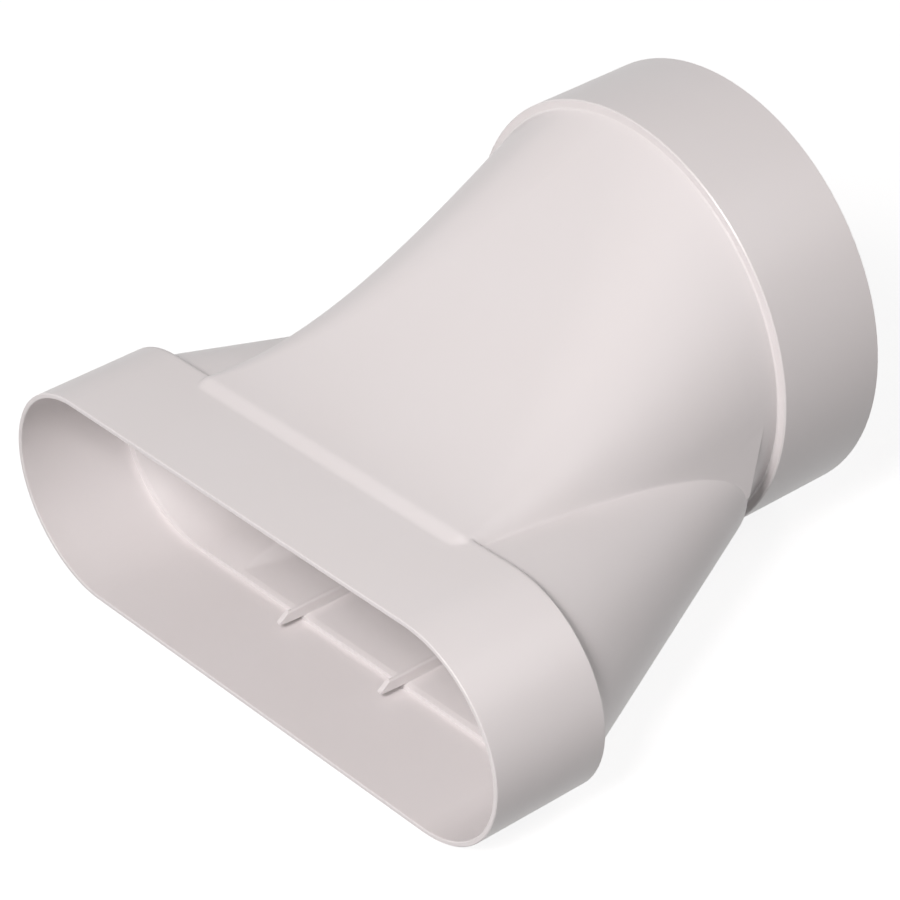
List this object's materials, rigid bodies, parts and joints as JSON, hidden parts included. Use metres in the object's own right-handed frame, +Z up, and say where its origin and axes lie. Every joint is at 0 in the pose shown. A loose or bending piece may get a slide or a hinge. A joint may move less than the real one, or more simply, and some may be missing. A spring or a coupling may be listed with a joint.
{
  "type": "flat-oval to round duct adapter",
  "caption": "One-piece glossy white plastic duct adapter: a flat-oval socket that widens into a round pipe socket through a saddle-shaped transition, with the undersides flush.",
  "frame": {"origin": "middle of the footprint, on the plane that the undersides of both collars lie on", "axes": "+X across the flat channel, +Y along the air path out of the round socket, +Z up"},
  "size_m": [0.2124, 0.173, 0.1294],
  "materials": {
    "white_plastic": "smooth glossy injection-moulded white plastic"
  },
  "bodies": {
    "root": {"duct_adapter": "white_plastic"}
  },
  "joints": []
}
